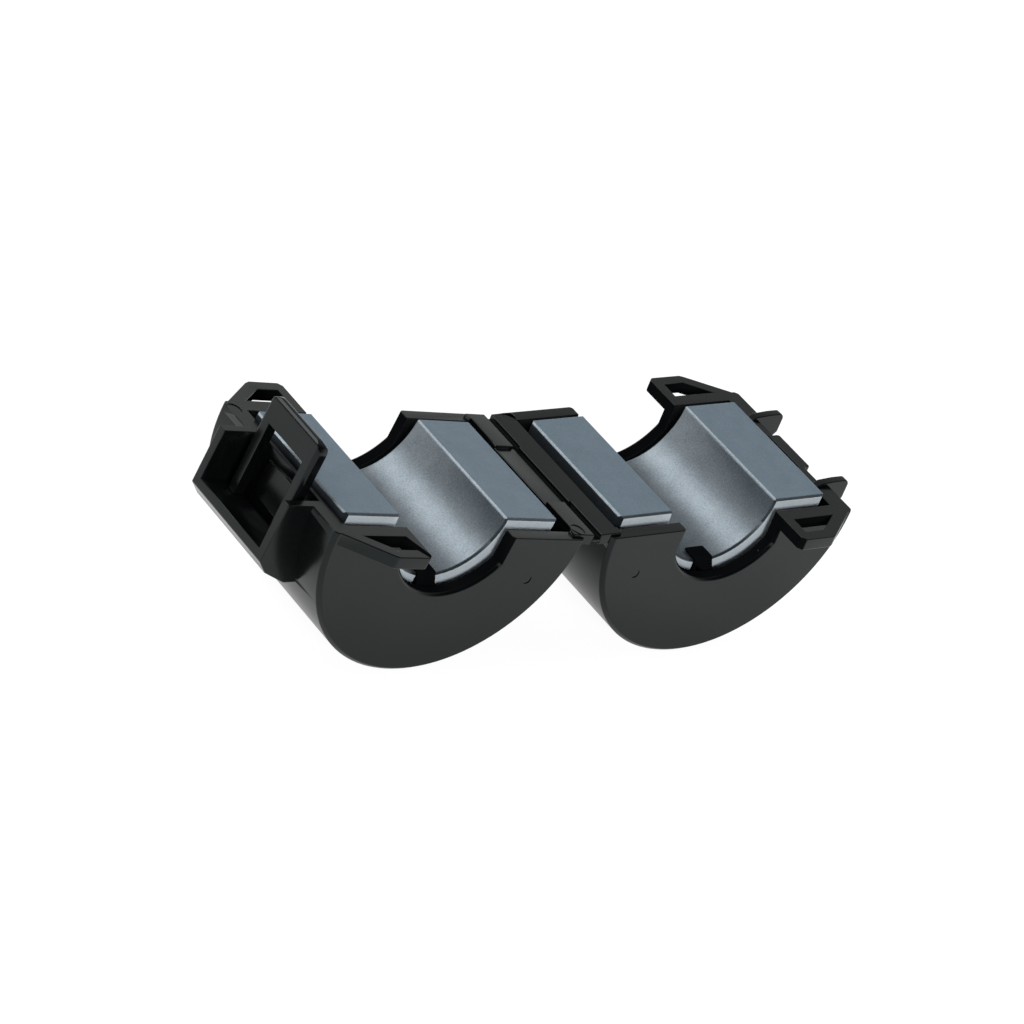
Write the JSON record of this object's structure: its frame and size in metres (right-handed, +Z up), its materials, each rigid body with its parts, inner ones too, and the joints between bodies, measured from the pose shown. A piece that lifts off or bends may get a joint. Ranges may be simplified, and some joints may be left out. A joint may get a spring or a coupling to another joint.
{
  "type": "clip-on ferrite bead",
  "caption": "Clip-on ferrite choke for round cable: two hinged black half cases, each holding a grey ferrite half core, with a latch loop, a catch and cable-tie eyes; shown open.",
  "frame": {"origin": "on the table under the hinge line, midway along the case's length", "axes": "+X across the open halves, from the latch half to the catch half; +Y along the cable; +Z up"},
  "size_m": [0.1377, 0.0516, 0.0422],
  "materials": {
    "case_plastic": "satin",
    "ferrite": "satin"
  },
  "bodies": {
    "base": {"base_shell": "case_plastic", "base_core": "ferrite", "film_hinge": "case_plastic"},
    "lid": {"lid_shell": "case_plastic", "lid_core": "ferrite"},
    "latch": {"latch_loop": "case_plastic"}
  },
  "joints": [
    {"name": "lid_hinge", "type": "hinge", "parent": "base", "child": "lid", "pos_m": [0, 0, 0.02894], "axis": [0, -1, 0], "range_deg": [0, 172.1], "deforming": ["film_hinge"]},
    {"name": "latch_flex", "type": "hinge", "parent": "base", "child": "latch", "pos_m": [-0.06503, 0, 0.02185], "axis": [0, -1, 0], "range_deg": [0, 8], "stiffness_Nm_per_rad": 1.5}
  ]
}
